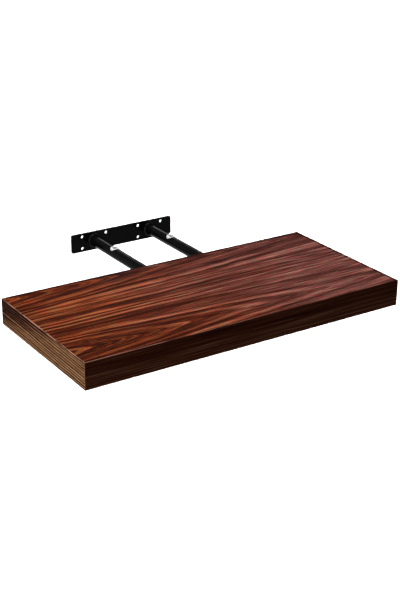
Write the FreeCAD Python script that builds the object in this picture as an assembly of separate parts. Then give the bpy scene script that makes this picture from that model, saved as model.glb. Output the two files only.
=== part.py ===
"""Floating wall shelf: a hollow-core board that slides onto the two rods of a steel wall bracket.

Millimetres. The origin is the middle of the wall plate's back face. +Y points into the wall, +Z is up
and +X is to the right for someone who faces the wall. The board stands part-way along its rods. Pushed
home, its back meets the wall and it hides the plate, the rods and the screws.
"""

import FreeCAD
import Part
import math
import os

# ---- Board -----------------------------------------------------------------------------------------
board_length = 500.0
board_depth = 235.0
board_thickness = 38.0
board_offset = -39.0  # from the bracket's middle to the board's middle; 0 hangs the board centrally
skin_thickness = 3.0  # decor-faced fibreboard above and below the core
band_thickness = 1.0  # edging strips on all four sides
band_edge_radius = 0.6  # trimmed edges of a strip's outer face
band_least_flat = 0.1  # what the trimming leaves flat at least across a strip's edge
front_rail_width = 20.0
end_rail_width = 20.0
back_rail_width = 28.0
rod_block_width = 40.0

# ---- Paper honeycomb in the board ------------------------------------------------------------------
cell_width = 25.0  # across the flats of one cell
cell_wall = 1.0

# ---- Wall bracket ----------------------------------------------------------------------------------
plate_thickness = 3.0
plate_corner_radius = 3.0
plate_edge_radius = 0.4  # rounding of the plate's front edge
plate_end_margin = 19.0  # from the outer holes to the plate's end
hole_edge_margin = 5.5  # from a hole's middle to the plate's long edge
hole_diameter = 5.0
hole_from_rod = 21.0  # sideways, from a rod to the holes on either side of it
rod_spacing = 100.0
rod_diameter = 17.0
rod_wall = 2.0
rod_in_board = 30.0  # length of rod that the board covers as it stands
weld_leg = 3.0
weld_bulge = 0.6  # how far a weld's face stands out from its root, in legs; 0.5 is flat

# ---- Plugs that close the rods ---------------------------------------------------------------------
plug_head_length = 3.0
plug_edge_radius = 1.5
plug_shank_length = 12.0

# ---- Levelling screws and the threaded bushes they run in ------------------------------------------
screw_from_plate = 64.0
bush_diameter = 13.5
bush_length = 10.0  # down from the top of the rod
bush_rim_chamfer = 0.4
thread_diameter = 8.0
screw_length = 12.0
screw_sunk = 1.0  # below the bush's rim when the screw is turned right down
screw_end_chamfer = 0.8
socket_width = 4.0  # across the flats of the hexagon socket
socket_depth = 4.5

# ---- Clearances ------------------------------------------------------------------------------------
rod_clearance = 0.3  # all round a rod in its bore
rod_end_clearance = 6.0  # from a rod's tip to the front rail with the board home
plug_clearance = 0.1  # all round a plug's shank in its tube
thread_clearance = 0.1  # all round a screw in its bush
keyway_clearance = 0.75  # each side of a bush as the board passes over it
keyway_run_out = 7.0  # length of keyway past a bush with the board home
pocket_clearance = 1.0  # round the plate, sideways and up and down
pocket_head_room = 5.0  # in front of the plate, for the heads of the wall screws
weld_clearance = 0.7

# ---- Worked out from the sizes above ---------------------------------------------------------------
rod_radius = rod_diameter / 2
rod_reach = board_depth - band_thickness - front_rail_width - rod_end_clearance - plate_thickness
rod_places = {"left": -rod_spacing / 2, "right": rod_spacing / 2}
plate_front = -plate_thickness
rod_tip = plate_front - rod_reach
tube_end = rod_tip + plug_head_length
tube_bore_radius = rod_radius - rod_wall

board_left = board_offset - board_length / 2
board_right = board_offset + board_length / 2
board_back = rod_tip + rod_in_board
board_front = board_back - board_depth
board_top = board_thickness / 2
core_top = board_top - skin_thickness

frame_left = board_left + band_thickness
frame_right = board_right - band_thickness
frame_back = board_back - band_thickness
frame_front = board_front + band_thickness
front_rail_back = frame_front + front_rail_width
back_rail_front = frame_back - back_rail_width

plate_length = rod_spacing + 2 * (hole_from_rod + plate_end_margin)
plate_height = 2 * (core_top - pocket_clearance)

screw_y = plate_front - screw_from_plate
bush_radius = bush_diameter / 2
bush_low = rod_radius - bush_length
screw_top = rod_radius - screw_sunk

X_AXIS = FreeCAD.Vector(1, 0, 0)
Y_AXIS = FreeCAD.Vector(0, 1, 0)
Z_AXIS = FreeCAD.Vector(0, 0, 1)
SAME_PLACE = 1e-6


def box(x_low, x_high, y_low, y_high, z_low, z_high):
    """A box between two corners."""
    corner = FreeCAD.Vector(x_low, y_low, z_low)
    return Part.makeBox(x_high - x_low, y_high - y_low, z_high - z_low, corner)


def level_cylinder(radius, x, y_low, y_high, z=0):
    """A cylinder along Y."""
    return Part.makeCylinder(radius, y_high - y_low, FreeCAD.Vector(x, y_low, z), Y_AXIS)


def upright_cylinder(radius, x, y, z_low, z_high):
    """A cylinder along Z."""
    return Part.makeCylinder(radius, z_high - z_low, FreeCAD.Vector(x, y, z_low), Z_AXIS)


def edges_at(edges, axis, place):
    """Those of some edges that lie in the plane square to an axis at one place."""
    kept = []
    for edge in edges:
        low = getattr(edge.BoundBox, axis + "Min")
        high = getattr(edge.BoundBox, axis + "Max")
        if abs(low - place) < SAME_PLACE and abs(high - place) < SAME_PLACE:
            kept.append(edge)
    return kept


def edges_along(edges, direction):
    """Those of some straight edges that run in one direction."""
    return [edge for edge in edges if abs(edge.tangentAt(edge.FirstParameter).dot(direction)) > 0.5]


# ---- Wall bracket ----------------------------------------------------------------------------------
def wall_plate():
    """Flat steel plate with rounded corners and, beside each rod, two pairs of screw holes."""
    half_length = plate_length / 2
    half_height = plate_height / 2
    plate = box(-half_length, half_length, plate_front, 0, -half_height, half_height)
    plate = plate.makeFillet(plate_corner_radius, edges_along(plate.Edges, Y_AXIS))
    plate = plate.makeFillet(plate_edge_radius, edges_at(plate.Edges, "Y", plate_front))
    hole_height = half_height - hole_edge_margin
    columns = [rod_x + side for rod_x in rod_places.values() for side in (-hole_from_rod, hole_from_rod)]
    places = [(x, z) for x in columns for z in (-hole_height, hole_height)]
    return plate.cut([level_cylinder(hole_diameter / 2, x, plate_front, 0, z) for x, z in places])


def rod_tube(rod_x):
    """Steel tube butted to the plate, bored from above for its threaded bush."""
    tube = level_cylinder(rod_radius, rod_x, tube_end, plate_front)
    tube = tube.cut(level_cylinder(tube_bore_radius, rod_x, tube_end, plate_front))
    return tube.cut(upright_cylinder(bush_radius, rod_x, screw_y, bush_low, rod_radius))


def weld_bead(rod_x):
    """Fillet weld round the root of a rod, a little convex."""
    root = FreeCAD.Vector(rod_x + rod_radius, plate_front, 0)
    on_plate = root + X_AXIS * weld_leg
    on_rod = root - Y_AXIS * weld_leg
    on_face = root + (X_AXIS - Y_AXIS) * (weld_bulge * weld_leg)
    outline = [
        Part.LineSegment(root, on_plate).toShape(),
        Part.Arc(on_plate, on_face, on_rod).toShape(),
        Part.LineSegment(on_rod, root).toShape(),
    ]
    return Part.Face(Part.Wire(outline)).revolve(FreeCAD.Vector(rod_x, 0, 0), Y_AXIS, 360)


def tip_plug(rod_x):
    """Plug pushed into the open end of a rod, with a rounded head as wide as the rod."""
    head = level_cylinder(rod_radius, rod_x, rod_tip, tube_end)
    head = head.makeFillet(plug_edge_radius, edges_at(head.Edges, "Y", rod_tip))
    shank = level_cylinder(tube_bore_radius - plug_clearance, rod_x, tube_end, tube_end + plug_shank_length)
    return head.fuse(shank)


def screw_bush(rod_x):
    """Threaded bush pressed into the top of a rod, with its rim level with the rod's highest line."""
    bush = upright_cylinder(bush_radius, rod_x, screw_y, bush_low, rod_radius)
    bush = bush.makeChamfer(bush_rim_chamfer, edges_at(bush.Edges, "Z", rod_radius))
    return bush.cut(upright_cylinder(thread_diameter / 2, rod_x, screw_y, bush_low, rod_radius))


def hexagon_socket(rod_x):
    """The room for a hexagon key in the top of a screw."""
    reach = socket_width / math.sqrt(3)
    low = screw_top - socket_depth
    turns = [math.radians(60 * corner) for corner in range(7)]
    corners = [(rod_x + reach * math.cos(turn), screw_y + reach * math.sin(turn), low) for turn in turns]
    return Part.Face(Part.makePolygon(corners)).extrude(Z_AXIS * socket_depth)


def levelling_screw(rod_x):
    """Grub screw turned down below its bush's rim. Turned back out, it lifts the board off the rod."""
    screw_tip = screw_top - screw_length
    screw = upright_cylinder(thread_diameter / 2 - thread_clearance, rod_x, screw_y, screw_tip, screw_top)
    ends = edges_at(screw.Edges, "Z", screw_tip) + edges_at(screw.Edges, "Z", screw_top)
    return screw.makeChamfer(screw_end_chamfer, ends).cut(hexagon_socket(rod_x))


# ---- Room in the board for the bracket -------------------------------------------------------------
def plate_pocket():
    """The room in the board's back for the wall plate and the heads of the wall screws."""
    half_length = plate_length / 2 + pocket_clearance
    floor = board_back - plate_thickness - pocket_head_room
    return box(-half_length, half_length, floor, board_back, -core_top, core_top)


def rod_way(rod_x):
    """The room for one rod: its bore, the relief for its weld, and the keyway for its bush and screw."""
    bore = level_cylinder(rod_radius + rod_clearance, rod_x, front_rail_back, board_back)
    relief_radius = rod_radius + weld_leg + weld_clearance
    relief_end = board_back - plate_thickness - weld_leg - weld_clearance
    relief = level_cylinder(relief_radius, rod_x, relief_end, board_back)
    half_width = bush_radius + keyway_clearance
    bush_end = board_back + screw_y - bush_radius
    keyway = box(rod_x - half_width, rod_x + half_width, bush_end - keyway_run_out, board_back, 0, core_top)
    return bore.fuse([relief, keyway])


# ---- Board -----------------------------------------------------------------------------------------
def core_block(x_low, x_high, y_low, y_high):
    """A solid piece of the board's frame, as high as the core."""
    return box(x_low, x_high, y_low, y_high, -core_top, core_top)


def skin(z_low):
    """Decor-faced sheet glued over the frame and the honeycomb."""
    return box(frame_left, frame_right, frame_front, frame_back, z_low, z_low + skin_thickness)


def front_rail():
    """Frame rail along the front."""
    return core_block(frame_left, frame_right, frame_front, front_rail_back)


def back_rail():
    """Frame rail along the back, cut out for the plate and bored for the rods."""
    rail = core_block(frame_left, frame_right, back_rail_front, frame_back)
    return rail.cut([plate_pocket()] + [rod_way(rod_x) for rod_x in rod_places.values()])


def end_rail(x_low):
    """Frame rail at one end, between the front and back rails."""
    return core_block(x_low, x_low + end_rail_width, front_rail_back, back_rail_front)


def rod_block(rod_x):
    """Block that takes one rod through the hollow of the board and bears on it."""
    half_width = rod_block_width / 2
    block = core_block(rod_x - half_width, rod_x + half_width, front_rail_back, back_rail_front)
    return block.cut(rod_way(rod_x))


def rounded_band(band, edges):
    """An edging strip with some of its edges trimmed round, as far as its thickness allows."""
    return band.makeFillet(min(band_edge_radius, band_thickness - band_least_flat), edges)


def long_band(y_low, outer_face):
    """Edging strip along the front or the back, which covers the ends of the short strips."""
    band = box(board_left, board_right, y_low, y_low + band_thickness, -board_top, board_top)
    return rounded_band(band, edges_at(band.Edges, "Y", outer_face))


def end_band(x_low, outer_face):
    """Edging strip at one end, between the long strips."""
    band = box(x_low, x_low + band_thickness, frame_front, frame_back, -board_top, board_top)
    return rounded_band(band, edges_along(edges_at(band.Edges, "X", outer_face), Y_AXIS))


# ---- Honeycomb -------------------------------------------------------------------------------------
def clipped(corners, axis, limit, side):
    """The part of a convex outline that lies beyond a limit along one axis, on the side given."""
    kept = []
    for start, end in zip(corners, corners[1:] + corners[:1]):
        start_beyond = (start[axis] - limit) * side
        end_beyond = (end[axis] - limit) * side
        if start_beyond >= 0:
            kept.append(start)
        if start_beyond * end_beyond < 0:
            share = start_beyond / (start_beyond - end_beyond)
            kept.append([a + (b - a) * share for a, b in zip(start, end)])
    return kept


def flat_wire(corners):
    """A closed wire through corners on the underside of the core."""
    points = [FreeCAD.Vector(x, y, -core_top) for x, y in corners]
    return Part.makePolygon(points + points[:1])


def cell_outline(x, y, bounds):
    """The inside of one cell, cut off by the outer wall, or nothing where too little is left."""
    reach = (cell_width - cell_wall) / math.sqrt(3)
    turns = [math.radians(60 * corner) for corner in range(6)]
    corners = [[x + reach * math.cos(turn), y + reach * math.sin(turn)] for turn in turns]
    for axis, (low, high) in enumerate(bounds):
        corners = clipped(corners, axis, low + cell_wall, 1)
        corners = clipped(corners, axis, high - cell_wall, -1)
    for axis in (0, 1):
        places = [corner[axis] for corner in corners]
        if not places or max(places) - min(places) < 2 * cell_wall:
            return []
    return corners


def honeycomb(x_low, x_high):
    """Paper honeycomb between two rod blocks or end rails, with its cells upright."""
    y_low = front_rail_back
    y_high = back_rail_front
    bounds = ((x_low, x_high), (y_low, y_high))
    column_step = cell_width * math.sqrt(3) / 2
    columns = int((x_high - x_low) / column_step) + 2
    rows = int((y_high - y_low) / cell_width) + 2
    cells = []
    for column in range(columns):
        x = x_low + column * column_step
        stagger = (column % 2) * cell_width / 2
        for row in range(rows):
            y = y_low + stagger + row * cell_width
            cells.append(cell_outline(x, y, bounds))
    rim = [(x_low, y_low), (x_high, y_low), (x_high, y_high), (x_low, y_high)]
    sheet = Part.Face([flat_wire(rim)] + [flat_wire(cell) for cell in cells if cell])
    return sheet.extrude(Z_AXIS * (2 * core_top))


# ---- The pieces, by name ---------------------------------------------------------------------------
def board_pieces():
    """The frame, skins and edging of the board."""
    return {
        "top_skin": skin(core_top),
        "bottom_skin": skin(-board_top),
        "front_rail": front_rail(),
        "back_rail": back_rail(),
        "left_end_rail": end_rail(frame_left),
        "right_end_rail": end_rail(frame_right - end_rail_width),
        "front_band": long_band(board_front, board_front),
        "back_band": long_band(frame_back, board_back).cut(plate_pocket()),
        "left_band": end_band(board_left, board_left),
        "right_band": end_band(frame_right, board_right),
    }


def core_pieces():
    """The three fillings of honeycomb."""
    half_block = rod_block_width / 2
    return {
        "core_left": honeycomb(frame_left + end_rail_width, rod_places["left"] - half_block),
        "core_middle": honeycomb(rod_places["left"] + half_block, rod_places["right"] - half_block),
        "core_right": honeycomb(rod_places["right"] + half_block, frame_right - end_rail_width),
    }


def rod_pieces():
    """What there is at each of the two rods."""
    makers = {
        "rod_tube": rod_tube,
        "weld_bead": weld_bead,
        "tip_plug": tip_plug,
        "screw_bush": screw_bush,
        "levelling_screw": levelling_screw,
        "rod_block": rod_block,
    }
    return {name + "_" + side: make(x) for name, make in makers.items() for side, x in rod_places.items()}


os.makedirs("parts", exist_ok=True)
shelf = {"wall_plate": wall_plate()} | rod_pieces() | board_pieces() | core_pieces()
for name, shape in shelf.items():
    shape.exportStep(os.path.join("parts", name + ".step"))
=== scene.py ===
"""Finishes of a floating wall shelf: a walnut-decor board that slides onto a black steel bracket.

Metres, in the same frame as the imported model: the wall is on the +Y side, +Z is up and the board lies
along X. Sizes of patterns and small parts are given in millimetres and turned to metres where used.
"""

import math

import bmesh
import bpy
from bpy.props import FloatProperty, FloatVectorProperty, IntProperty, PointerProperty
from bpy.types import Operator, Panel, PropertyGroup
from mathutils import Matrix, Vector


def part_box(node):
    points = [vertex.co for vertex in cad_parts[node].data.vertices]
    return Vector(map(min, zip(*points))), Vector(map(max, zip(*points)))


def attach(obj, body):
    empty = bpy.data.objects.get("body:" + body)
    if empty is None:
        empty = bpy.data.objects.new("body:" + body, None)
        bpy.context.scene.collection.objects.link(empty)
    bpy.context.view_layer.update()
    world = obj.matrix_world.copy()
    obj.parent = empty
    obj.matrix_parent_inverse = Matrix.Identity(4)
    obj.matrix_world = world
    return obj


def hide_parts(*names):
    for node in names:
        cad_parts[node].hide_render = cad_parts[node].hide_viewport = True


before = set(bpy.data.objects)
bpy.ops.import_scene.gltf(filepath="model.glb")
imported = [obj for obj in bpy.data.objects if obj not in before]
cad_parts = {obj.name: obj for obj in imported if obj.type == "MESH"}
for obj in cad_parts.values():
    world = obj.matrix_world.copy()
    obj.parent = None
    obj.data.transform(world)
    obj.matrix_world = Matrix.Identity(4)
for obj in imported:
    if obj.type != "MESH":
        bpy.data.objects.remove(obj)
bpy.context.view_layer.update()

bl_info = {
    "name": "Floating Wall Shelf",
    "version": (1, 0, 0),
    "blender": (4, 5, 0),
    "location": "3D View > Sidebar > Wall Shelf",
    "description": "Decor, edging, coated bracket, welds, screws and stage of a floating wall shelf",
    "category": "Object",
}

MM = 0.001
SIDES = ("left", "right")
MERGE_DISTANCE = 0.001 * MM  # points nearer than this are one

# ---- Places taken from the frame ---------------------------------------------------------------------
board_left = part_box("left_band")[0].x
board_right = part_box("right_band")[1].x
board_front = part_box("front_band")[0].y
board_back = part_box("back_band")[1].y
board_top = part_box("top_skin")[1].z
plate_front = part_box("wall_plate")[0].y
board_length_mm = (board_right - board_left) / MM
half_thickness_mm = board_top / MM


def middle(node):
    """The middle of a CAD node's box."""
    low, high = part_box(node)
    return (low + high) / 2


def span(node):
    """The length of a CAD node's box along each axis."""
    low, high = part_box(node)
    return high - low


def pair(name):
    """The names of a left and a right node."""
    return [name + "_" + side for side in SIDES]


# ---- Growth rings of the decor, from a heart line outwards ------------------------------------------
# Each pair is a distance through the rings, in millimetres, and how light the wood is there.
FRONT_RINGS = (
    (0.0, 0.50), (2.2, 0.66), (2.9, 0.25), (3.6, 0.50), (4.3, 0.50), (4.8, 0.25), (6.0, 0.46),
    (9.0, 0.42), (9.9, 0.18), (11.2, 0.60), (13.8, 0.66), (15.0, 0.28), (17.0, 0.40), (20.5, 0.46),
    (21.8, 0.82), (23.0, 0.56), (26.5, 0.66), (28.5, 0.28), (33.0, 0.18), (40.0, 0.22), (43.5, 0.62),
    (49.0, 0.52), (52.0, 0.70), (58.0, 0.60), (62.0, 0.30), (65.0, 0.22),
)
BACK_RINGS = (
    (0.0, 0.46), (3.5, 0.54), (4.6, 0.36), (6.0, 0.48), (11.5, 0.60), (12.7, 0.30), (15.0, 0.42),
    (20.5, 0.50), (21.7, 0.28), (24.5, 0.36), (27.0, 0.62), (33.0, 0.76), (34.0, 0.40), (35.5, 0.72),
    (42.0, 0.70), (50.0, 0.55), (56.0, 0.24), (65.0, 0.24),
)


def linear(hex_colour):
    """The linear colour of an sRGB hex value, with an alpha of 1."""
    colour = []
    for place in (1, 3, 5):
        share = int(hex_colour[place:place + 2], 16) / 255
        colour.append(share / 12.92 if share <= 0.04045 else ((share + 0.055) / 1.055) ** 2.4)
    return (*colour, 1)


def add(tree, kind, inputs=None, stops=None, **settings):
    """Adds a node with its settings. An input is a value, a socket, or a node, whose first output is
    taken."""
    node = tree.nodes.new(kind)
    for name, value in settings.items():
        setattr(node, name, value)
    for name, value in (inputs or {}).items():
        if isinstance(value, bpy.types.Node):
            value = value.outputs[0]
        if isinstance(value, bpy.types.NodeSocket):
            tree.links.new(value, node.inputs[name])
        else:
            node.inputs[name].default_value = value
    if stops:
        ramp = node.color_ramp.elements
        while len(ramp) < len(stops):
            ramp.new(1)
        for element, (place, colour) in zip(ramp, stops):
            element.position = place
            element.color = colour
    return node


def hex_ramp(tree, value, *stops):
    """The colour of a value on a ramp. Each stop is a place and an sRGB hex value."""
    stops = [(place, linear(colour)) for place, colour in stops]
    return add(tree, "ShaderNodeValToRGB", {0: value}, stops=stops).outputs[0]


def grey_ramp(tree, value, stops):
    """The grey of a value on a ramp. Each stop is a place and a grey, and the last place stands for 1."""
    reach = stops[-1][0]
    stops = [(place / reach, (grey, grey, grey, 1)) for place, grey in stops]
    return add(tree, "ShaderNodeValToRGB", {0: value}, stops=stops).outputs[0]


def point(tree, x, y, z=0.0):
    """A point from its coordinates."""
    return add(tree, "ShaderNodeCombineXYZ", {0: x, 1: y, 2: z})


def coordinates(tree, place):
    """The three coordinates of a point."""
    return add(tree, "ShaderNodeSeparateXYZ", {0: place}).outputs


def scaled(tree, vector, factors):
    """A vector or a colour with each of its parts times a factor."""
    return add(tree, "ShaderNodeVectorMath", {0: vector, 1: factors}, operation="MULTIPLY")


def reckon(tree, operation, *values):
    """The result of one sum on values or sockets."""
    return add(tree, "ShaderNodeMath", dict(enumerate(values)), operation=operation).outputs[0]


def new_material(name):
    """An empty node material with its shader, and the tree that holds them."""
    material = bpy.data.materials.new(name)
    material.use_nodes = True
    tree = material.node_tree
    tree.nodes.clear()
    shader = add(tree, "ShaderNodeBsdfPrincipled")
    add(tree, "ShaderNodeOutputMaterial", {"Surface": shader})
    return material, tree, shader


def finish_shader(tree, shader, linked, **fixed):
    """Links a shader's varying inputs, and sets those that are the same all over."""
    for name, value in linked.items():
        tree.links.new(value, shader.inputs[name])
    for name, value in fixed.items():
        shader.inputs[name.replace("_", " ").title().replace("Ior", "IOR")].default_value = value


def object_place(tree, corner=(0, 0, 0)):
    """Where a point lies on the object, in millimetres from a corner."""
    place = add(tree, "ShaderNodeTexCoord").outputs["Object"]
    offset = add(tree, "ShaderNodeVectorMath", {0: place, 1: corner}, operation="SUBTRACT")
    return scaled(tree, offset, (1 / MM,) * 3)


def speckle(tree, place, size, detail=2.0, roughness=0.5):
    """Noise of one size in millimetres, or of a size along each axis, with 1 for a third left out."""
    sizes = (*size, 1.0)[:3] if isinstance(size, tuple) else (size,) * 3
    settings = {
        "Vector": scaled(tree, place, [1 / length for length in sizes]),
        "Scale": 1.0,
        "Detail": detail,
        "Roughness": roughness,
    }
    return add(tree, "ShaderNodeTexNoise", settings).outputs[0]


def weighed(tree, value, centre, weight, level):
    """A value's distance from a centre, times a weight, on top of a level."""
    return reckon(tree, "MULTIPLY_ADD", reckon(tree, "SUBTRACT", value, centre), weight, level)


def with_noises(tree, tone, *weighted):
    """A tone with noises added, each with its weight, so that they darken as much as they lighten."""
    for noise, weight in weighted:
        tone = weighed(tree, noise, 0.5, weight, tone)
    return tone


def wavy_lines(tree, count, spacing, noise, swing):
    """Lines from -1 to 1, evenly spaced along a count and swung to and fro by a noise."""
    shift = reckon(tree, "MULTIPLY", noise, swing)
    return reckon(tree, "SINE", reckon(tree, "MULTIPLY_ADD", count, 2 * math.pi / spacing, shift))


def spread(tree, value, low, high, to_low=0.0, to_high=1.0):
    """A value between two limits, eased over to two others."""
    limits = {0: value, 1: low, 2: high, 3: to_low, 4: to_high}
    return add(tree, "ShaderNodeMapRange", limits, interpolation_type="SMOOTHSTEP").outputs[0]


def blended(tree, share, first, second):
    """A number part of the way from a first to a second."""
    return add(tree, "ShaderNodeMix", {0: share, 2: first, 3: second}).outputs[0]


def mixed(tree, share, first, second):
    """A colour part of the way from a first to a second."""
    return add(tree, "ShaderNodeMix", {0: share, 6: first, 7: second}, data_type="RGBA").outputs[2]


def bumped(tree, height, strength, depth):
    """Surface relief from a height, where a height of 1 is a depth in millimetres."""
    settings = {"Height": height, "Strength": strength, "Distance": depth * MM}
    return add(tree, "ShaderNodeBump", settings).outputs[0]


# ---- Walnut decor -----------------------------------------------------------------------------------
class DecorSettings(PropertyGroup):
    """Figure and colours of the printed walnut decor."""

    front_heart: FloatProperty(
        name="Front Heart Line",
        description="From the back edge to the heart line of the front cathedral figure, in millimetres",
        default=200.0,
    )
    back_heart: FloatProperty(
        name="Back Heart Line",
        description="From the back edge to the heart line of the back cathedral figure, in millimetres",
        default=12.0,
    )
    arch_spread: FloatProperty(
        name="Arch Spread",
        description="How far along the grain a ring runs out, for each millimetre out to the power below",
        default=1.09,
        min=0.1,
    )
    arch_power: FloatProperty(
        name="Arch Power",
        description="1 gives straight-sided arches and 2 gives round ones",
        default=1.45,
        min=1.0,
        max=2.0,
    )
    ring_step: FloatProperty(
        name="Ring Step",
        description="Millimetres along the heart line for each millimetre through the rings",
        default=12.2,
        min=1.0,
    )
    taper_length: FloatProperty(
        name="Taper Length",
        description="Millimetres along the board over which the rings run out half as fast",
        default=800.0,
        min=50.0,
    )
    waviness: FloatProperty(
        name="Waviness",
        description="How far the grain wanders sideways, in millimetres",
        default=4.0,
        min=0.0,
    )
    line_spacing: FloatProperty(
        name="Line Spacing",
        description="From one fine grain line to the next, in millimetres through the evened rings",
        default=6.4,
        min=0.5,
    )
    sheet: FloatProperty(
        name="Sheet",
        description="Each number gives another sheet of the print, with other bands and lines",
        default=320.0,
    )
    sheen_roughness: FloatProperty(
        name="Roughness", description="Roughness of the melamine face", default=0.42, min=0.0, max=1.0
    )


def walnut_rings(tree, decor, along, across):
    """Where a point lies in the growth rings: its distance from the nearest heart line, its share of the
    way out through the rings, whether the line is the back one, and two counts of the rings from front to
    back, by distance and evenly spaced."""
    evening = 0.75  # a power that nearly undoes the arch power, so that lines lie evenly
    apart = decor.front_heart - decor.back_heart
    from_front = reckon(tree, "ABSOLUTE", reckon(tree, "SUBTRACT", decor.front_heart, across))
    folded = reckon(tree, "PINGPONG", from_front, apart)
    from_heart = reckon(tree, "MINIMUM", folded, reckon(tree, "SUBTRACT", apart, folded))
    is_back = reckon(tree, "GREATER_THAN", folded, apart / 2)
    arch = reckon(tree, "POWER", from_heart, decor.arch_power)
    arch = reckon(tree, "MULTIPLY", arch, decor.arch_spread)
    slowing = reckon(tree, "MULTIPLY_ADD", along, 1 / decor.taper_length, 1.0)
    run_out = reckon(tree, "DIVIDE", along, slowing)
    turn = reckon(tree, "COSINE", reckon(tree, "MULTIPLY", from_heart, 2 * math.pi / apart))
    hold = reckon(tree, "MULTIPLY_ADD", turn, 0.5, 0.5)
    rings = reckon(tree, "DIVIDE", reckon(tree, "MULTIPLY_ADD", run_out, hold, arch), decor.ring_step)
    reach = decor.arch_spread * (apart / 2) ** decor.arch_power / decor.ring_step
    share = reckon(tree, "DIVIDE", rings, reach)
    evened = reckon(tree, "MULTIPLY", reckon(tree, "POWER", share, evening), reach)
    counts = []
    for count in (rings, evened):
        beyond = reckon(tree, "SUBTRACT", 2 * reach, count)
        counts.append(blended(tree, is_back, count, beyond))
    return from_heart, share, is_back, counts


def fibreboard_colour(tree, place):
    """Raw medium-density fibreboard: buff, with darker and lighter pressed fibres."""
    fibres = speckle(tree, place, 1.4, 3.0, 0.7)
    tone = with_noises(tree, 0.5, (fibres, 1.3), (speckle(tree, place, 22.0), 0.6))
    return hex_ramp(tree, tone, (0.0, "#7d5c3a"), (0.5, "#a88358"), (1.0, "#c9a77a"))


def walnut_streaks(tree, ringwise, linewise, from_heart):
    """Streaks along the rings: long bands with thin dark late-wood lines, and fine arches where the heart
    line is near."""
    bands = with_noises(
        tree,
        0.0,
        (speckle(tree, ringwise, (380.0, 8.0), 1.0), 0.30),
        (speckle(tree, linewise, (420.0, 3.0), 2.0, 0.6), 1.70),
        (speckle(tree, linewise, (230.0, 2.0), 1.0), 1.65),
    )
    for size, width, depth in (((450.0, 5.2), 0.050, 0.42), ((260.0, 2.9), 0.060, 0.30)):
        noise = speckle(tree, linewise, size, 1.0)
        off_line = reckon(tree, "ABSOLUTE", reckon(tree, "SUBTRACT", noise, 0.5))
        late_wood = spread(tree, off_line, 0.0, width, 1.0, 0.0)
        bands = reckon(tree, "MULTIPLY_ADD", late_wood, -depth, bands)
    arches = with_noises(tree, -0.17, (speckle(tree, linewise, (200.0, 0.9), 2.0, 0.6), 2.2))
    return blended(tree, spread(tree, from_heart, 4.0, 44.0), arches, bands)


def walnut_level(tree, along, across):
    """How light the top is over the board: darkest at the back and in the front left corner."""
    front_level = spread(tree, along, 80.0, 460.0, 0.47, 0.63)
    level = blended(tree, spread(tree, across, 10.0, 100.0), 0.38, front_level)
    at_left = spread(tree, along, 20.0, 100.0, 1.0, 0.0)
    at_front = spread(tree, across, 160.0, 210.0)
    return reckon(tree, "MULTIPLY_ADD", reckon(tree, "MULTIPLY", at_left, at_front), -0.17, level)


def walnut_colour(tree, tone, plan, along):
    """The print's colour at a tone: warm on the left, and duller and greyer on the right, partly in the
    print and partly as a painted sheen; redder or duller in spots.
    """
    warm = hex_ramp(
        tree, tone, (0.0, "#290900"), (0.25, "#471704"), (0.5, "#632a10"), (0.7, "#7c3b1b"),
        (0.85, "#8f4a29"), (1.0, "#a05c39"),
    )
    # Duller, greyer colours for the right: partly the print and partly a painted sheen.
    dusky_with_sheen = hex_ramp(
        tree, tone, (0.0, "#2c110c"), (0.25, "#46211c"), (0.5, "#643a34"), (0.7, "#7e4b45"),
        (0.85, "#955f56"), (1.0, "#aa766a"),
    )
    drift_to_sheen = reckon(tree, "MULTIPLY_ADD", speckle(tree, plan, (150.0, 30.0), 1.0), 240.0, along)
    colour = mixed(tree, spread(tree, drift_to_sheen, 170.0, 560.0), warm, dusky_with_sheen)
    spots = spread(tree, speckle(tree, plan, (18.0, 4.5), 2.0), 0.35, 0.65)
    redder = scaled(tree, colour, (1.16, 0.82, 0.84))
    duller = scaled(tree, colour, (0.86, 1.10, 0.98))
    return mixed(tree, spots, redder, duller)


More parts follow.
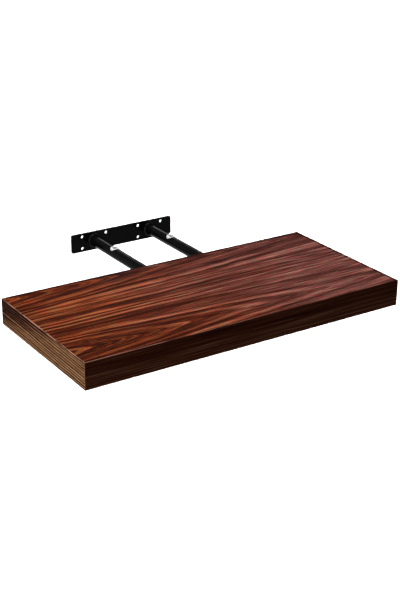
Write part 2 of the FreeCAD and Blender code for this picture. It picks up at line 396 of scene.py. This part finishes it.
def walnut_decor():
    """Walnut decor foil on fibreboard: a flat-sawn walnut print under a satin melamine film.

    The print gives dark late-wood lines, red-brown bands and short pores; towards the right its colour
    turns duller, partly in the print and partly as a painted sheen. The film is pressed with the pores,
    so they show in the gloss as well as in the colour."""
    underside_shift = 170.0  # millimetres along the print, so that the underside shows another stretch
    foil_thickness = 0.1
    decor = bpy.context.scene.wall_shelf_decor
    material, tree, shader = new_material("walnut_melamine_decor")
    place = object_place(tree, (board_left, board_back, 0))
    parts = coordinates(tree, place)
    underside = reckon(tree, "LESS_THAN", parts[2], 0.0)
    along = reckon(tree, "MULTIPLY_ADD", underside, underside_shift, parts[0])
    across = reckon(tree, "MULTIPLY", parts[1], -1.0)
    plan = point(tree, along, across)
    bent = with_noises(
        tree,
        across,
        (speckle(tree, plan, (170.0, 60.0), 1.0), 2 * decor.waviness),
        (speckle(tree, plan, (42.0, 13.0), 1.0), 0.9 * decor.waviness),
    )

    from_heart, share, is_back, (through, evened) = walnut_rings(tree, decor, along, bent)
    front_tone = grey_ramp(tree, share, FRONT_RINGS)
    back_tone = grey_ramp(tree, share, BACK_RINGS)
    ring_weight = spread(tree, along, 60.0, 330.0, 0.78, 0.38)
    tone = weighed(tree, mixed(tree, is_back, front_tone, back_tone), 0.46, ring_weight, 0.48)
    linewise = point(tree, along, evened, decor.sheet)
    streaks = walnut_streaks(tree, point(tree, along, through, decor.sheet), linewise, from_heart)
    tone = reckon(tree, "ADD", tone, streaks)
    fibres = speckle(tree, plan, (26.0, 0.5), 2.0, 0.6)
    tone = with_noises(tree, tone, (fibres, 0.40))
    sway = speckle(tree, linewise, (330.0, 9.0), 1.0)
    grain_lines = wavy_lines(tree, evened, decor.line_spacing, sway, 7.0)
    strength = spread(tree, speckle(tree, linewise, (140.0, 16.0), 1.0), 0.35, 0.65, 0.14, 0.42)
    tone = reckon(tree, "MULTIPLY_ADD", grain_lines, strength, tone)

    contrast = spread(tree, along, 40.0, 290.0, 1.25, 0.58)
    tone = weighed(tree, tone, 0.42, contrast, walnut_level(tree, along, across))
    tone = with_noises(tree, tone, (speckle(tree, point(tree, along, bent), (60.0, 1.7), 1.0), 1.50))
    pores = spread(tree, speckle(tree, plan, (7.0, 0.55), 0.0), 0.64, 0.72)
    tone = reckon(tree, "MULTIPLY_ADD", pores, -0.25, tone)
    # Painted shade: a thin darker line along the back and right edges of the top.
    from_right = reckon(tree, "SUBTRACT", board_length_mm, parts[0])
    edge_shade = spread(tree, reckon(tree, "MINIMUM", across, from_right), 2.5, 6.0, 1.0, 0.0)
    tone = reckon(tree, "MULTIPLY_ADD", edge_shade, -0.55, tone)

    depth_in_board = reckon(tree, "ABSOLUTE", parts[2])
    inside = reckon(tree, "LESS_THAN", depth_in_board, half_thickness_mm - foil_thickness)
    colour = walnut_colour(tree, tone, plan, along)
    relief = reckon(tree, "MULTIPLY_ADD", pores, -1.0, fibres)
    finish_shader(
        tree,
        shader,
        {
            "Base Color": mixed(tree, inside, colour, fibreboard_colour(tree, place)),
            "Roughness": reckon(tree, "MULTIPLY_ADD", pores, 0.2, decor.sheen_roughness),
            "Normal": bumped(tree, relief, 0.35, 0.04),
        },
        specular_ior_level=0.01,
    )
    return material


# ---- Edging -----------------------------------------------------------------------------------------
def strip_edges(tree, parts, length=None):
    """1 on a strip's trimmed long edges, and on its cut ends where its length is given. 0 on its face."""
    trimmed_width, cut_width = 0.65, 0.3
    height = reckon(tree, "ABSOLUTE", parts[2])
    trimmed = reckon(tree, "GREATER_THAN", height, half_thickness_mm - trimmed_width)
    if length is None:
        return trimmed
    before = reckon(tree, "LESS_THAN", parts[0], cut_width)
    beyond = reckon(tree, "GREATER_THAN", parts[0], length - cut_width)
    return reckon(tree, "MAXIMUM", trimmed, reckon(tree, "MAXIMUM", before, beyond))


def finish_edging(tree, shader, plan, colour, highlit_or_bare_share, paper):
    """Ends an edging's shader: its paper where the print is worn off or where a painted highlight lies on
    a trimmed edge, and a fine grain in the film.
    """
    relief = speckle(tree, plan, (22.0, 0.6), 1.0)
    finish_shader(
        tree,
        shader,
        {
            "Base Color": mixed(tree, highlit_or_bare_share, colour, linear(paper)),
            "Normal": bumped(tree, relief, 0.3, 0.03),
        },
        roughness=0.45,
        specular_ior_level=0.01,
    )


def long_edging():
    """Melamine edging on the long sides: a walnut print on paper, ironed on and trimmed with a file.

    It is nearly black-brown with faint streaks along the board, partly as the print and partly as painted
    shade, and lighter towards the bottom, partly in the print and partly as painted light from below. Its
    trimmed edges show the lighter paper under the print, which on the front edge also stands for a
    painted highlight."""
    material, tree, shader = new_material("melamine_edging_long")
    place = object_place(tree, (board_left, 0, 0))
    parts = coordinates(tree, place)
    plan = point(tree, parts[0], parts[2])
    # Lighter towards the bottom: partly the print and partly painted light from below.
    tone = with_noises(
        tree,
        spread(tree, parts[2], 8.0, -8.0, 0.36, 0.54),
        (speckle(tree, plan, (260.0, 5.0), 1.0), 0.60),
        (speckle(tree, plan, (130.0, 1.9), 2.0), 1.30),
        (speckle(tree, plan, (22.0, 0.6), 1.0), 0.30),
    )
    # Painted shade with the print: these dark colours are partly the edging's own and partly painted
    # shade.
    colour = hex_ramp(
        tree, tone, (0.0, "#1e0905"), (0.35, "#3b190e"), (0.55, "#4f2b1a"), (1.0, "#815c46")
    )
    shade = spread(tree, parts[0], 0.0, 480.0, 0.0, 0.40)
    colour = mixed(tree, shade, colour, linear("#260a04"))
    # Painted highlight with wear: paler paper on the front band's trimmed edges, fading to the right, for
    # worn print and for the light that the rounded edge catches.
    wear_and_highlight = spread(tree, speckle(tree, place, 40.0, 2.0), 0.30, 0.60)
    wear_and_highlight = reckon(tree, "MULTIPLY", wear_and_highlight, spread(tree, parts[0], 120.0, 330.0, 1.0, 0.15))
    front_half = reckon(tree, "LESS_THAN", parts[1], (board_front + board_back) / 2 / MM)
    wear_and_highlight = reckon(tree, "MULTIPLY", wear_and_highlight, front_half)
    bare_or_highlit = reckon(tree, "MULTIPLY", strip_edges(tree, parts, board_length_mm), wear_and_highlight)
    finish_edging(tree, shader, plan, colour, bare_or_highlit, "#94685a")
    return material


def short_edging():
    """Melamine edging on the ends: a walnut print with even, near-parallel lines, paler and greyer than
    the top, partly as the print and partly as a painted sheen.

    It turns almost black towards the top back corner, where its lines grow stronger, and has a band of
    painted shadow just under its top edge. The trimmed edges show a pinkish paper, which on the left end
    also stands for a painted highlight."""
    line_spacing, line_slope = 3.9, 0.012
    wedge_length, wedge_depth = 125.0, 28.0  # the dark corner's reach along the end and down it
    material, tree, shader = new_material("melamine_edging_short")
    place = object_place(tree, (board_left, board_back, 0))
    parts = coordinates(tree, place)
    from_back = reckon(tree, "MULTIPLY", parts[1], -1.0)
    plan = point(tree, from_back, parts[2])
    height = with_noises(tree, parts[2], (speckle(tree, plan, (90.0, 12.0), 1.0), 3.0))
    height = reckon(tree, "MULTIPLY_ADD", from_back, line_slope, height)
    linewise = point(tree, from_back, height)
    lines = wavy_lines(tree, height, line_spacing, speckle(tree, linewise, (140.0, 9.0), 1.0), 5.0)
    depth = reckon(tree, "SUBTRACT", half_thickness_mm, parts[2])
    down = reckon(tree, "MULTIPLY", depth, 1 / wedge_depth)
    wedge = spread(tree, reckon(tree, "MULTIPLY_ADD", from_back, 1 / wedge_length, down), 1.6, 0.5)
    # Painted shadow: a darker band just under the top edge of the end.
    seam_shadow = spread(tree, depth, 2.4, 1.0)
    tone = reckon(tree, "MULTIPLY_ADD", seam_shadow, -0.50, reckon(tree, "MULTIPLY_ADD", wedge, -0.78, 0.56))
    strength = reckon(tree, "MULTIPLY_ADD", wedge, 0.20, 0.34)
    tone = with_noises(
        tree,
        reckon(tree, "MULTIPLY_ADD", lines, strength, tone),
        (speckle(tree, linewise, (180.0, 1.8), 2.0), 1.30),
        (speckle(tree, plan, (14.0, 0.9), 1.0), 0.70),
    )
    colour = hex_ramp(
        tree, tone, (0.0, "#160502"), (0.3, "#4a1f0f"), (0.58, "#755132"), (1.0, "#a9825d")
    )
    # Painted highlight with wear: paler paper on the trimmed edges of the left end only, for worn print
    # and for the light that the rounded edge catches.
    wear_and_highlight = spread(tree, speckle(tree, place, 30.0, 2.0), 0.35, 0.65, 0.15, 0.90)
    wear_and_highlight = reckon(tree, "MULTIPLY", wear_and_highlight, spread(tree, parts[0], 100.0, 400.0, 1.0, 0.0))
    bare_or_highlit = reckon(tree, "MULTIPLY", strip_edges(tree, parts), wear_and_highlight)
    finish_edging(tree, shader, plan, colour, bare_or_highlit, "#b9876e")
    return material


# ---- Inside of the board -----------------------------------------------------------------------------
def raw_fibreboard():
    """Sawn medium-density fibreboard: matt buff, with a felted look and no grain."""
    material, tree, shader = new_material("sawn_fibreboard")
    place = object_place(tree)
    relief = speckle(tree, place, 0.9, 3.0, 0.7)
    finish_shader(
        tree,
        shader,
        {"Base Color": fibreboard_colour(tree, place), "Normal": bumped(tree, relief, 0.5, 0.12)},
        roughness=0.85,
        specular_ior_level=0.25,
    )
    return material


def honeycomb_paper():
    """Recycled kraft paper: grey-brown and matt, with short dark fibres."""
    material, tree, shader = new_material("kraft_paper")
    place = object_place(tree)
    fibres = speckle(tree, place, (4.0, 0.5, 0.5), 2.0)
    tone = with_noises(tree, 0.5, (fibres, 0.9), (speckle(tree, place, 15.0), 0.5))
    colour = hex_ramp(tree, tone, (0.0, "#80623f"), (0.5, "#a3835a"), (1.0, "#bfa077"))
    finish_shader(
        tree,
        shader,
        {"Base Color": colour, "Normal": bumped(tree, fibres, 0.4, 0.08)},
        roughness=0.9,
        specular_ior_level=0.2,
    )
    return material


def dress(material, *nodes):
    """Gives CAD nodes a material."""
    for name in nodes:
        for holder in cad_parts[name].material_slots:
            holder.material = material


class SHELF_OT_finish_board(Operator):
    """Give the board its decor, edging, raw fibreboard and paper"""

    bl_idname = "wall_shelf.finish_board"
    bl_label = "Finish Board"

    def execute(self, context):
        dress(walnut_decor(), "top_skin", "bottom_skin")
        dress(long_edging(), "front_band", "back_band")
        dress(short_edging(), "left_band", "right_band")
        rails = ["front_rail", "back_rail", "left_end_rail", "right_end_rail"]
        dress(raw_fibreboard(), *rails, *pair("rod_block"))
        dress(honeycomb_paper(), "core_left", "core_middle", "core_right")
        return {"FINISHED"}


# ---- Finishes of the bracket -------------------------------------------------------------------------
def powder_coat():
    """Black polyester powder coat on steel: satin, with the fine orange peel of a baked coat.

    It stays nearly black where it faces away from the lights and shows thin grey lights on its curves."""
    material, tree, shader = new_material("black_powder_coat")
    place = object_place(tree)
    relief = bumped(tree, speckle(tree, place, 1.1, 1.0), 0.25, 0.05)
    patches = speckle(tree, place, 14.0, 1.0)
    tone = with_noises(tree, 0.5, (patches, 0.8), (speckle(tree, place, 0.5, 0.0), 0.4))
    colour = hex_ramp(tree, tone, (0.0, "#040404"), (0.5, "#070707"), (1.0, "#0c0c0c"))
    finish_shader(
        tree,
        shader,
        {"Base Color": colour, "Normal": relief, "Coat Normal": relief},
        roughness=0.5,
        specular_ior_level=0.0,
        coat_weight=0.35,
        coat_roughness=0.15,
    )
    return material


def moulded_plastic():
    """Injection-moulded polyethylene: black and soft-looking, with a faint waxy gloss."""
    material, tree, shader = new_material("moulded_polyethylene")
    place = object_place(tree)
    tone = with_noises(tree, 0.5, (speckle(tree, place, 3.0), 0.7))
    colour = hex_ramp(tree, tone, (0.0, "#131314"), (1.0, "#202021"))
    finish_shader(
        tree,
        shader,
        {"Base Color": colour, "Normal": bumped(tree, speckle(tree, place, 0.4), 0.2, 0.03)},
        roughness=0.5,
        specular_ior_level=0.3,
    )
    return material


def zinc_plate(name, darkest, lightest):
    """Zinc plate on turned steel: a silvery metal with a slight milky haze from handling.

    It is bright on the bushes. On the screws it is greyer, partly as a duller plate on hardened steel and
    partly as painted shade of the recess that they sit sunk in."""
    material, tree, shader = new_material(name)
    place = object_place(tree)
    haze = speckle(tree, place, 2.2, 2.0)
    colour = hex_ramp(tree, haze, (0.3, darkest), (0.7, lightest))
    finish_shader(
        tree,
        shader,
        {
            "Base Color": colour,
            "Roughness": spread(tree, haze, 0.3, 0.7, 0.38, 0.50),
            "Normal": bumped(tree, speckle(tree, place, 0.35, 1.0), 0.15, 0.02),
        },
        metallic=0.4,
    )
    return material


class SHELF_OT_coat_bracket(Operator):
    """Powder coat the plate and the rods, and finish the plugs and the bushes"""

    bl_idname = "wall_shelf.coat_bracket"
    bl_label = "Coat Bracket"

    def execute(self, context):
        dress(powder_coat(), "wall_plate", *pair("rod_tube"))
        dress(moulded_plastic(), *pair("tip_plug"))
        dress(zinc_plate("bright_zinc_plate", "#dfe1e2", "#f4f5f3"), *pair("screw_bush"))
        return {"FINISHED"}


# ---- Pieces with modelled detail ---------------------------------------------------------------------
def linked_object(name, data):
    """A new object in the scene. A mesh keeps its place in its points."""
    holder = bpy.data.objects.new(name, data)
    bpy.context.scene.collection.objects.link(holder)
    return holder


def face_outwards(mesh):
    """Merges what is doubled in a closed mesh and turns its faces outwards."""
    shape = bmesh.new()
    shape.from_mesh(mesh)
    bmesh.ops.remove_doubles(shape, verts=shape.verts, dist=MERGE_DISTANCE)
    bmesh.ops.recalc_face_normals(shape, faces=shape.faces)
    shape.to_mesh(mesh)
    shape.free()


def made_plain(name, tree, sizes):
    """The plain mesh object that a Geometry Nodes tree makes with some sizes."""
    holder = linked_object(name, bpy.data.meshes.new(name))
    modifier = holder.modifiers.new(name, "NODES")
    modifier.node_group = tree
    for socket in tree.interface.items_tree:
        if socket.in_out == "INPUT":
            modifier[socket.identifier] = sizes[socket.name]
    evaluated = holder.evaluated_get(bpy.context.evaluated_depsgraph_get())
    mesh = bpy.data.meshes.new_from_object(evaluated)
    holder.modifiers.remove(modifier)
    holder.data = mesh
    face_outwards(mesh)
    return holder


def new_shape_tree(name, sizes):
    """An empty Geometry Nodes tree with named sizes, and what its sizes come out of."""
    tree = bpy.data.node_groups.new(name, "GeometryNodeTree")
    for size in sizes:
        tree.interface.new_socket(size, in_out="INPUT", socket_type="NodeSocketFloat")
    tree.interface.new_socket("Geometry", in_out="OUTPUT", socket_type="NodeSocketGeometry")
    return tree, add(tree, "NodeGroupInput").outputs


def end_shape_tree(tree, geometry, material):
    """Ends a Geometry Nodes tree in real, smooth geometry with its material."""
    smooth = add(tree, "GeometryNodeSetShadeSmooth", {"Geometry": geometry})
    real = add(tree, "GeometryNodeRealizeInstances", {"Geometry": smooth})
    finished = add(tree, "GeometryNodeSetMaterial", {"Geometry": real, "Material": material})
    add(tree, "NodeGroupOutput", {"Geometry": finished})


class WeldSettings(PropertyGroup):
    """The welds at the roots of the rods."""

    bead_radius: FloatProperty(
        name="Bead Radius",
        description="Roundness of a bead's section",
        default=2.1 * MM,
        unit="LENGTH",
        precision=5,
    )
    root_offset: FloatProperty(
        name="Root Offset",
        description="From the root to the middle of a bead's section, both along and out from the rod",
        default=1.1 * MM,
        unit="LENGTH",
        precision=5,
    )
    ripple_pitch: FloatProperty(
        name="Ripple Pitch",
        description="From one ripple to the next",
        default=1.7 * MM,
        unit="LENGTH",
        precision=5,
    )
    ripple_depth: FloatProperty(
        name="Ripple Depth", description="Share of a bead's radius", default=0.16, min=0.0, max=0.5
    )
    lump_height: FloatProperty(
        name="Lump Height",
        description="How far a bead stands higher where it was started and ended",
        default=1.0 * MM,
        unit="LENGTH",
        precision=5,
    )


WELD_SIZES = (
    "Rod X", "Plate Y", "Rod Radius", "Bead Radius", "Root Offset", "Ripples", "Ripple Depth",
    "Lump Height",
)


def weld_tree(material):
    """Nodes that lay one rippled weld bead round the root of a rod.

    A flat grid is bent into a ring: its length goes round the rod, its width round the section."""
    steps_round, steps_in_section = 288, 20
    open_side = math.pi / 4  # the way a bead faces, half-way between the rod and the plate
    flattening = 0.46  # share of the radius that the open side lacks
    ripple_lean, ripple_middle = 0.9, 0.6
    wander_scale, wander_share = 2.6, 0.45
    lump_turns, lump_sharpness = (74, 107), 90.0  # degrees round the rod, and a power
    tree, size = new_shape_tree("Weld Bead", WELD_SIZES)
    grid = add(tree, "GeometryNodeMeshGrid", {
        "Size X": 1.0, "Size Y": 1.0, "Vertices X": steps_round + 1, "Vertices Y": steps_in_section + 1
    })
    place = coordinates(tree, add(tree, "GeometryNodeInputPosition"))
    turn = reckon(tree, "MULTIPLY", place[0], 2 * math.pi)
    round_section = reckon(tree, "MULTIPLY", place[1], 2 * math.pi)
    cosine, sine = reckon(tree, "COSINE", turn), reckon(tree, "SINE", turn)
    facing = reckon(tree, "COSINE", reckon(tree, "SUBTRACT", round_section, open_side))
    facing_out = reckon(tree, "MAXIMUM", facing, 0.0)

    lean = reckon(tree, "MULTIPLY", facing, ripple_lean)
    phase = reckon(tree, "MULTIPLY_ADD", reckon(tree, "MULTIPLY", size["Ripples"], 0.5), turn, lean)
    ripple = reckon(tree, "ABSOLUTE", reckon(tree, "SINE", phase))
    ripple = reckon(tree, "SUBTRACT", ripple, ripple_middle)
    ripple = reckon(tree, "MULTIPLY", ripple, size["Ripple Depth"])
    flat = reckon(tree, "MULTIPLY_ADD", reckon(tree, "POWER", facing_out, 2.0), -flattening, 1.0)
    where = point(tree, cosine, sine, place[1])
    settings = {"Vector": where, "Scale": wander_scale, "Detail": 1.0}
    wander = add(tree, "ShaderNodeTexNoise", settings).outputs[0]
    wander = reckon(tree, "MULTIPLY", reckon(tree, "SUBTRACT", wander, 0.5), wander_share)
    share = reckon(tree, "ADD", reckon(tree, "ADD", flat, ripple), wander)
    radius = reckon(tree, "MULTIPLY", share, size["Bead Radius"])
    for degrees in lump_turns:
        near = reckon(tree, "COSINE", reckon(tree, "SUBTRACT", turn, math.radians(degrees)))
        lump = reckon(tree, "POWER", reckon(tree, "MAXIMUM", near, 0.0), lump_sharpness)
        lump = reckon(tree, "MULTIPLY", lump, facing_out)
        radius = reckon(tree, "MULTIPLY_ADD", lump, size["Lump Height"], radius)

    offset = size["Root Offset"]
    out = reckon(tree, "MULTIPLY_ADD", radius, reckon(tree, "COSINE", round_section), offset)
    out = reckon(tree, "ADD", out, size["Rod Radius"])
    forward = reckon(tree, "MULTIPLY_ADD", radius, reckon(tree, "SINE", round_section), offset)
    x = reckon(tree, "MULTIPLY_ADD", out, cosine, size["Rod X"])
    y = reckon(tree, "SUBTRACT", size["Plate Y"], forward)
    ring = {"Geometry": grid, "Position": point(tree, x, y, reckon(tree, "MULTIPLY", out, sine))}
    bent = add(tree, "GeometryNodeSetPosition", ring)
    merged = add(tree, "GeometryNodeMergeByDistance", {"Geometry": bent, "Distance": MERGE_DISTANCE})
    end_shape_tree(tree, merged, material)
    return tree


class SHELF_OT_lay_welds(Operator):
    """Lay a rippled weld bead round the root of each rod"""

    bl_idname = "wall_shelf.lay_welds"
    bl_label = "Lay Welds"

    def execute(self, context):
        welds = context.scene.wall_shelf_welds
        tree = weld_tree(bpy.data.materials["black_powder_coat"])
        for side in SIDES:
            rod_radius = span("rod_tube_" + side).x / 2
            bead = made_plain("weld_ripples_" + side, tree, {
                "Rod X": middle("rod_tube_" + side).x,
                "Plate Y": plate_front,
                "Rod Radius": rod_radius,
                "Bead Radius": welds.bead_radius,
                "Root Offset": welds.root_offset,
                "Ripples": float(round(2 * math.pi * rod_radius / welds.ripple_pitch)),
                "Ripple Depth": welds.ripple_depth,
                "Lump Height": welds.lump_height,
            })
            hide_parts("weld_bead_" + side)
            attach(bead, "bracket")
        return {"FINISHED"}


class ScrewSettings(PropertyGroup):
    """The levelling screws."""

    thread_pitch: FloatProperty(
        name="Thread Pitch",
        description="From one turn of the thread to the next",
        default=1.25 * MM,
        unit="LENGTH",
        precision=5,
    )
    thread_depth: FloatProperty(
        name="Thread Depth",
        description="From the crests to the roots",
        default=0.72 * MM,
        unit="LENGTH",
        precision=5,
    )
    socket_flats: FloatProperty(
        name="Socket",
        description="Across the flats of the hexagon socket",
        default=4.0 * MM,
        unit="LENGTH",
        precision=5,
    )
    sides_round: IntProperty(
        name="Sides", description="Faces round the thread", default=60, min=12, max=120
    )


def hexagon(turn):
    """How far the side of a hexagon lies from its middle at a turn, for 1 across half the flats."""
    sixth = math.pi / 3
    return 1 / math.cos((turn + sixth / 2) % sixth - sixth / 2)


def thread_groove(height, turn, pitch):
    """How deep the thread is cut at a height and a turn, from 0 at its crest to 1 at its root."""
    flank_slope, root_reach = 3.0, 1.25
    place = (height / pitch - turn / (2 * math.pi)) % 1
    return min(1, max(0, root_reach - abs(place - 0.5) * flank_slope))


def grub_screw(name, low, high, settings):
    """A grub screw with a helical thread, a hexagon socket at the top and a cup point."""
    chamfer = 0.8 * MM
    socket_depth = 4.5 * MM
    cone_depth = 0.9 * MM  # of the drilled cones, under the socket and in the cup point
    mouth_depth, mouth_share = 0.35 * MM, 1.2  # the socket's countersunk mouth
    cup_share = 0.55  # of the screw's radius
    steps_per_turn = 8
    centre = (low + high) / 2
    radius = (high.x - low.x) / 2
    flats = settings.socket_flats / 2
    socket_floor = high.z - socket_depth
    steps = steps_per_turn * round((high.z - low.z) / settings.thread_pitch)
    rings = [
        (0, socket_floor - cone_depth, "round"),
        (flats, socket_floor, "hexagon"),
        (flats, high.z - mouth_depth, "hexagon"),
        (flats * mouth_share, high.z, "round"),
        (radius - chamfer, high.z, "round"),
        *((radius, high.z - (high.z - low.z) * step / steps, "thread") for step in range(steps + 1)),
        (radius - chamfer, low.z, "round"),
        (radius * cup_share, low.z, "round"),
        (0, low.z + cone_depth, "round"),
    ]

    shape = bmesh.new()
    loops = []
    for ring_radius, height, kind in rings:
        loop = []
        for side in range(settings.sides_round):
            turn = 2 * math.pi * side / settings.sides_round
            reach = ring_radius
            if kind == "hexagon":
                reach *= hexagon(turn)
            if kind == "thread":
                groove = thread_groove(height - low.z, turn, settings.thread_pitch)
                reach -= settings.thread_depth * groove
                to_end = min(high.z - height, height - low.z)
                reach = min(reach, radius - chamfer + to_end)
            x, y = centre.x + reach * math.cos(turn), centre.y + reach * math.sin(turn)
            loop.append(shape.verts.new((x, y, height)))
        loops.append(loop)
    for upper, lower in zip(loops, loops[1:]):
        for side in range(settings.sides_round):
            after = (side + 1) % settings.sides_round
            shape.faces.new((upper[side], upper[after], lower[after], lower[side]))
    mesh = bpy.data.meshes.new(name)
    shape.to_mesh(mesh)
    shape.free()
    face_outwards(mesh)
    mesh.shade_smooth()
    mesh.set_sharp_from_angle(angle=math.radians(40))
    return linked_object(name, mesh)


class SHELF_OT_cut_screws(Operator):
    """Cut the threads and sockets of the levelling screws"""

    bl_idname = "wall_shelf.cut_screws"
    bl_label = "Cut Screws"

    def execute(self, context):
        # Greyer zinc for the screws: partly a duller plate and partly painted shade of the recess.
        shade_greyed_zinc = zinc_plate("shade_greyed_zinc_plate", "#6b6d6f", "#86888a")
        for side in SIDES:
            low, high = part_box("levelling_screw_" + side)
            screw = grub_screw("grub_screw_" + side, low, high, context.scene.wall_shelf_screws)
            screw.data.materials.append(shade_greyed_zinc)
            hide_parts("levelling_screw_" + side)
            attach(screw, "screw_" + side)
        return {"FINISHED"}


# ---- Stage ------------------------------------------------------------------------------------------
class StageSettings(PropertyGroup):
    """Floor, lights and camera."""

    floor_drop: FloatProperty(
        name="Floor Drop",
        description="From the middle of the bracket down to the floor",
        default=1.0,
        subtype="DISTANCE",
        unit="LENGTH",
    )
    key_power: FloatProperty(
        name="Key Power", description="Power of the key light, in watts", default=27.0, min=0
    )
    rim_power: FloatProperty(
        name="Rim Power", description="Power of the light behind, in watts", default=0.25, min=0
    )
    back_power: FloatProperty(
        name="Background Power",
        description="Power of the light over the floor behind, in watts",
        default=460.0,
        min=0,
    )
    camera_turn: FloatProperty(
        name="Camera Azimuth",
        description="0 looks along +Y, and positive values go round to the right",
        default=math.radians(-33.477),
        subtype="ANGLE",
        unit="ROTATION",
    )
    camera_rise: FloatProperty(
        name="Camera Elevation",
        description="Above the horizon",
        default=math.radians(23.084),
        subtype="ANGLE",
        unit="ROTATION",
    )
    camera_roll: FloatProperty(
        name="Camera Roll",
        description="About the line of sight",
        default=math.radians(0.5836),
        subtype="ANGLE",
        unit="ROTATION",
    )
    camera_distance: FloatProperty(
        name="Camera Distance",
        description="From the point aimed at",
        default=1.9,
        subtype="DISTANCE",
        unit="LENGTH",
    )
    camera_aim: FloatVectorProperty(
        name="Camera Aim",
        description="The point that the camera looks at",
        default=(0.042138, -0.163080, -0.063713),
        precision=6,
        subtype="XYZ",
        unit="LENGTH",
    )
    camera_lens: FloatProperty(
        name="Lens",
        description="Focal length on a sensor 36 mm long, in millimetres",
        default=75.154,
        min=1,
    )


def aimed(location, target):
    """The matrix of a light or camera at a place that looks at another."""
    looking = (Vector(target) - Vector(location)).to_track_quat("-Z", "Y")
    return Matrix.Translation(location) @ looking.to_matrix().to_4x4()


def area_light(name, location, target, size, power, spread_angle=math.pi):
    """A rectangular soft light."""
    light = bpy.data.lights.new(name, "AREA")
    light.shape = "RECTANGLE"
    light.size, light.size_y = size
    light.energy = power
    light.spread = spread_angle
    linked_object(name, light).matrix_world = aimed(location, target)


def pale_floor(drop):
    """A wide plain floor, well below the shelf."""
    radius, sides = 30.0, 96
    mesh = bpy.data.meshes.new("floor")
    shape = bmesh.new()
    lowered = Matrix.Translation((0, 0, -drop))
    bmesh.ops.create_circle(shape, cap_ends=True, segments=sides, radius=radius, matrix=lowered)
    shape.to_mesh(mesh)
    shape.free()
    material, tree, shader = new_material("matt_studio_paint")
    finish_shader(
        tree, shader, {}, base_color=(0.86, 0.86, 0.86, 1), roughness=0.9, specular_ior_level=0.0
    )
    mesh.materials.append(material)
    linked_object("floor", mesh)


def studio_air(world):
    """Pale round the horizon and dim above it, so that flat faces keep their depth."""
    world.use_nodes = True
    tree = world.node_tree
    tree.nodes.clear()
    direction = add(tree, "ShaderNodeTexCoord").outputs["Generated"]
    height = coordinates(tree, direction)[2]
    grey = grey_ramp(tree, height, ((0.0, 0.60), (0.08, 0.50), (0.28, 0.10), (1.0, 0.28)))
    air = add(tree, "ShaderNodeBackground", {"Color": grey, "Strength": 1.0})
    add(tree, "ShaderNodeOutputWorld", {"Surface": air})


def stage_camera(stage):
    """The camera, in the view that the shelf is shown in."""
    rise, turn = stage.camera_rise, stage.camera_turn
    back = Vector((math.sin(turn) * math.cos(rise), -math.cos(turn) * math.cos(rise), math.sin(rise)))
    location = Vector(stage.camera_aim) + back * stage.camera_distance
    data = bpy.data.cameras.new("camera")
    data.lens = stage.camera_lens
    data.sensor_width = 36.0
    data.clip_end = 100.0
    camera = linked_object("camera", data)
    camera.matrix_world = aimed(location, stage.camera_aim) @ Matrix.Rotation(stage.camera_roll, 4, "Z")
    bpy.context.scene.camera = camera


class SHELF_OT_set_stage(Operator):
    """Lay the floor, hang the lights and set the camera"""

    bl_idname = "wall_shelf.set_stage"
    bl_label = "Set Stage"

    def execute(self, context):
        scene = context.scene
        stage = scene.wall_shelf_stage
        pale_floor(stage.floor_drop)
        scene.world = scene.world or bpy.data.worlds.new("studio")
        studio_air(scene.world)
        narrow = math.radians(60)
        board_middle, rods_top = (-0.04, -0.3, 0.0), Vector((0.0, -0.04, 0.0085))
        area_light("key_light", (-0.95, 0.05, 1.15), board_middle, (1.3, 0.9), stage.key_power)
        rim = rods_top + Vector((0.42, 0.811, 0.407)) * 3.0
        area_light("rim_light", rim, rods_top, (0.5, 0.3), stage.rim_power, narrow)
        above, below = (3.25, 4.25, 3.0), (3.25, 4.25, 0.0)
        area_light("background_light", above, below, (6.5, 7.5), stage.back_power, narrow)
        stage_camera(stage)
        scene.view_settings.view_transform = "Standard"
        return {"FINISHED"}


class SHELF_PT_sidebar(Panel):
    """Lists the steps that finish the shelf"""

    bl_label = "Wall Shelf"
    bl_idname = "SHELF_PT_sidebar"
    bl_space_type = "VIEW_3D"
    bl_region_type = "UI"
    bl_category = "Wall Shelf"

    def draw(self, context):
        for step in STEPS:
            self.layout.operator(step.bl_idname)
        for name in SETTINGS:
            settings = getattr(context.scene, name)
            box = self.layout.box()
            for size in settings.bl_rna.properties.keys():
                if size not in ("rna_type", "name"):
                    box.prop(settings, size)


STEPS = (
    SHELF_OT_finish_board,
    SHELF_OT_coat_bracket,
    SHELF_OT_lay_welds,
    SHELF_OT_cut_screws,
    SHELF_OT_set_stage,
)
SETTINGS = {
    "wall_shelf_decor": DecorSettings,
    "wall_shelf_welds": WeldSettings,
    "wall_shelf_screws": ScrewSettings,
    "wall_shelf_stage": StageSettings,
}


def register():
    for group in (*SETTINGS.values(), *STEPS, SHELF_PT_sidebar):
        bpy.utils.register_class(group)
    for name, group in SETTINGS.items():
        setattr(bpy.types.Scene, name, PointerProperty(type=group))


def unregister():
    for name in SETTINGS:
        delattr(bpy.types.Scene, name)
    for group in (SHELF_PT_sidebar, *reversed(STEPS), *reversed(SETTINGS.values())):
        bpy.utils.unregister_class(group)


def main():
    register()
    bpy.ops.wall_shelf.finish_board()
    bpy.ops.wall_shelf.coat_bracket()
    bpy.ops.wall_shelf.lay_welds()
    bpy.ops.wall_shelf.cut_screws()
    bpy.ops.wall_shelf.set_stage()


if __name__ == "__main__":
    main()
